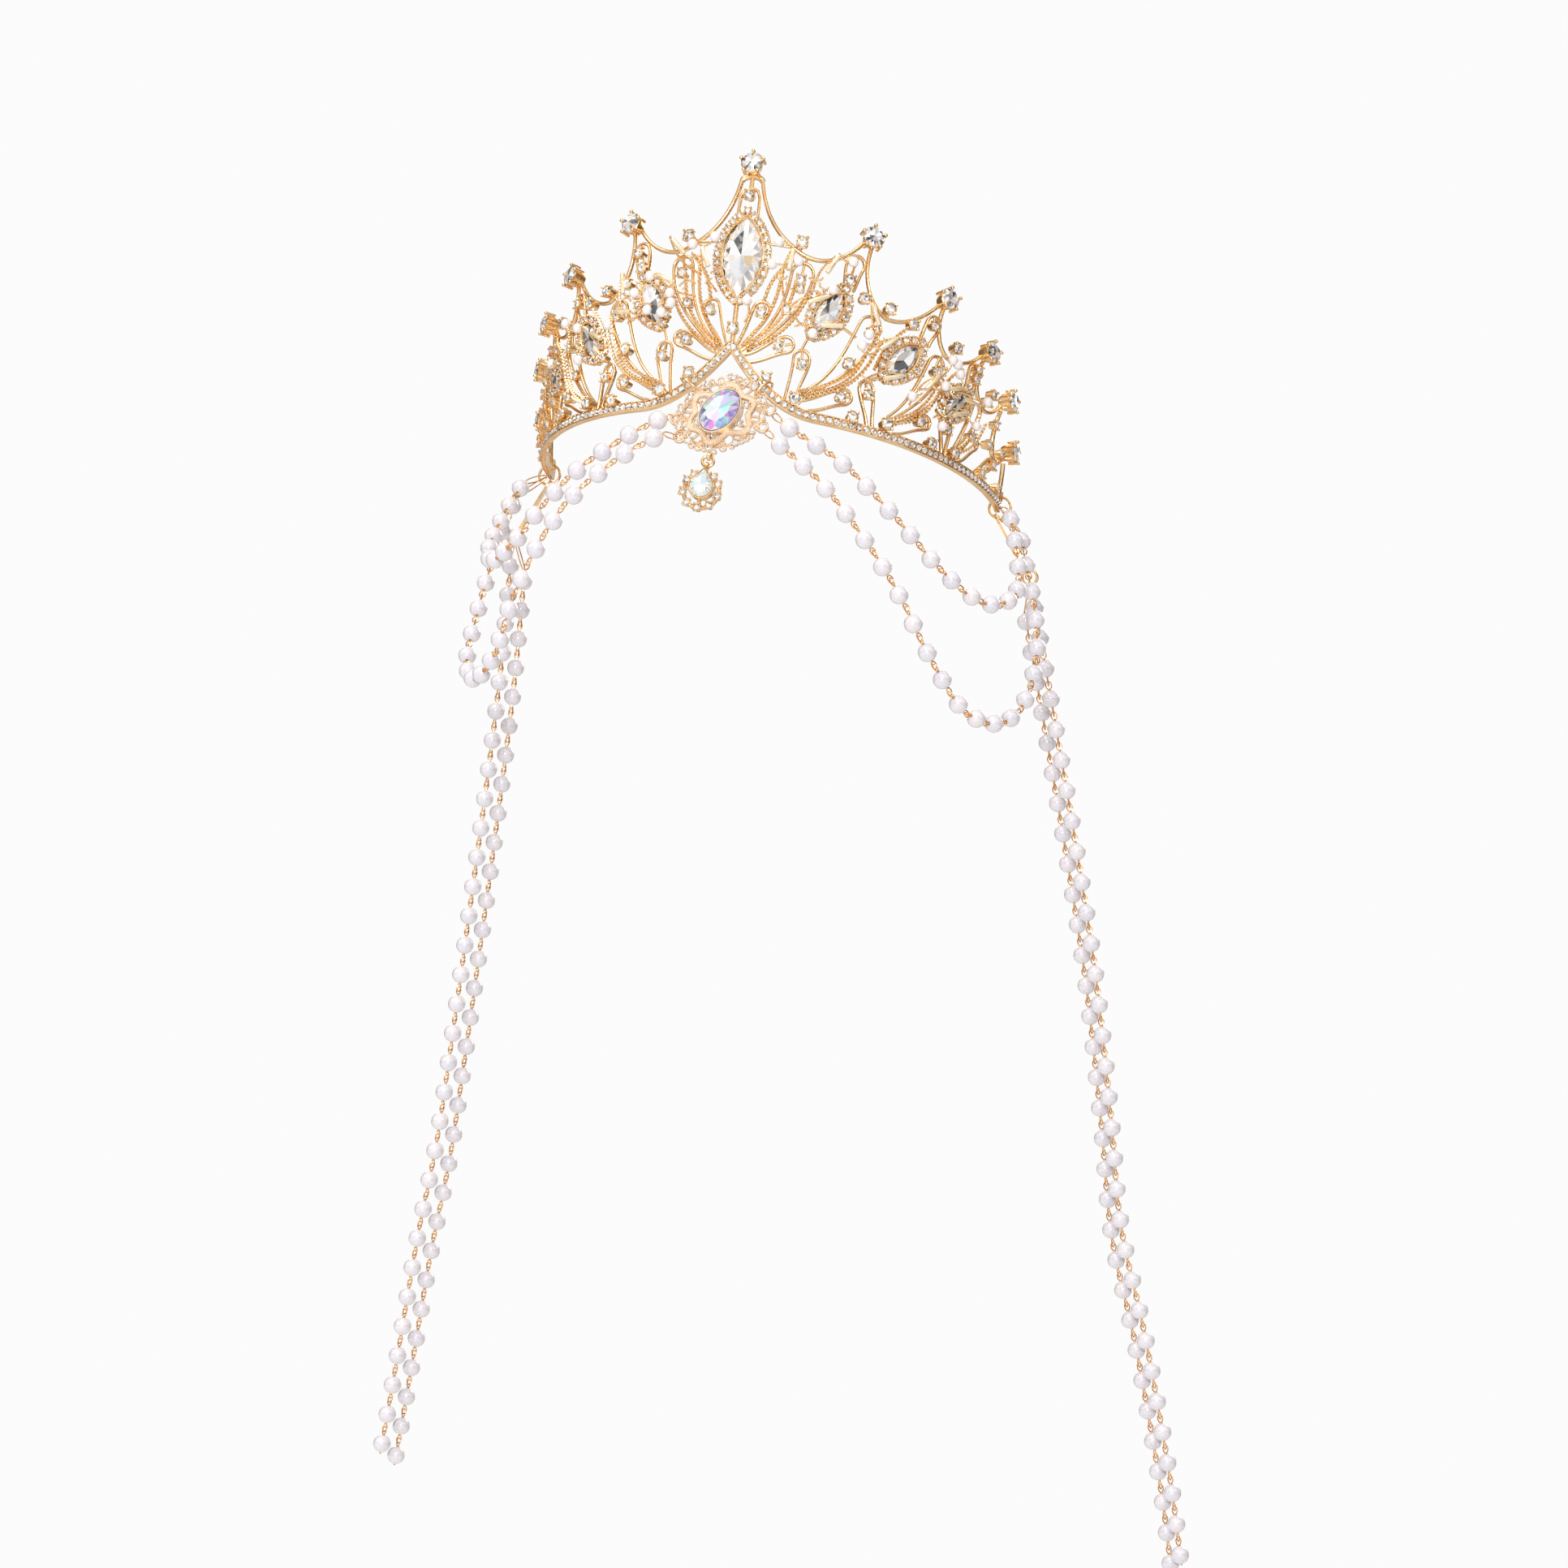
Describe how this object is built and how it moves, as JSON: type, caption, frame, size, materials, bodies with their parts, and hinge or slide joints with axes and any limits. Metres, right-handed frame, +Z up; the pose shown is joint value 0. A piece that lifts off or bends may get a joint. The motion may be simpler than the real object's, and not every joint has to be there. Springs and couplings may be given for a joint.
{
  "type": "half-round openwork crown with pearl chains",
  "caption": "Half-round gilt openwork crown with clear stones, a brow brooch with a drop, swagged pearl chains and long pearl strands at its ends.",
  "frame": {"origin": "middle of the head opening, in the plane of the foot of the band", "axes": "+Z up along the crown, -Y to the front with the brooch, +X to the viewer's right; the crown is symmetric about the YZ plane, and the brooch, the swags and the long strands hang as worn"},
  "size_m": [0.275, 0.2072, 0.4153],
  "materials": {
    "gilt_metal": "polished pale gold plating",
    "gilt_wire": "polished pale gold wire",
    "crystal": "cut and foiled clear crystal",
    "iridescent_crystal": "cut crystal with an iridescent coating",
    "pearl": "pearly lustre"
  },
  "bodies": {
    "root": {"crown_frame": "gilt_metal", "brooch_frame": "gilt_metal", "brooch_stone": "iridescent_crystal", "brooch_ring_right": "gilt_metal", "brooch_ring_left": "gilt_metal", "drop_ring": "gilt_metal", "drop_frame": "gilt_metal", "drop_stone": "crystal", "spire_stone_middle": "crystal", "marquise_middle": "crystal", "spire_stone_right_1": "crystal", "spire_stone_right_2": "crystal", "spire_stone_right_3": "crystal", "spire_stone_right_4": "crystal", "spire_stone_right_5": "crystal", "marquise_right_1": "crystal", "marquise_right_2": "crystal", "marquise_right_3": "crystal", "end_ring_right": "gilt_metal", "clasp_right": "gilt_metal", "tail_ring_right": "gilt_metal", "upper_pearls_right": "pearl", "upper_wire_right": "gilt_wire", "lower_pearls_right": "pearl", "lower_wire_right": "gilt_wire", "long_pearls_a_right": "pearl", "long_wire_a_right": "gilt_wire", "long_pearls_b_right": "pearl", "long_wire_b_right": "gilt_wire", "spire_stone_left_1": "crystal", "spire_stone_left_2": "crystal", "spire_stone_left_3": "crystal", "spire_stone_left_4": "crystal", "spire_stone_left_5": "crystal", "marquise_left_1": "crystal", "marquise_left_2": "crystal", "marquise_left_3": "crystal", "end_ring_left": "gilt_metal", "clasp_left": "gilt_metal", "tail_ring_left": "gilt_metal", "upper_pearls_left": "pearl", "upper_wire_left": "gilt_wire", "lower_pearls_left": "pearl", "lower_wire_left": "gilt_wire", "long_pearls_a_left": "pearl", "long_wire_a_left": "gilt_wire", "long_pearls_b_left": "pearl", "long_wire_b_left": "gilt_wire"}
  },
  "joints": []
}
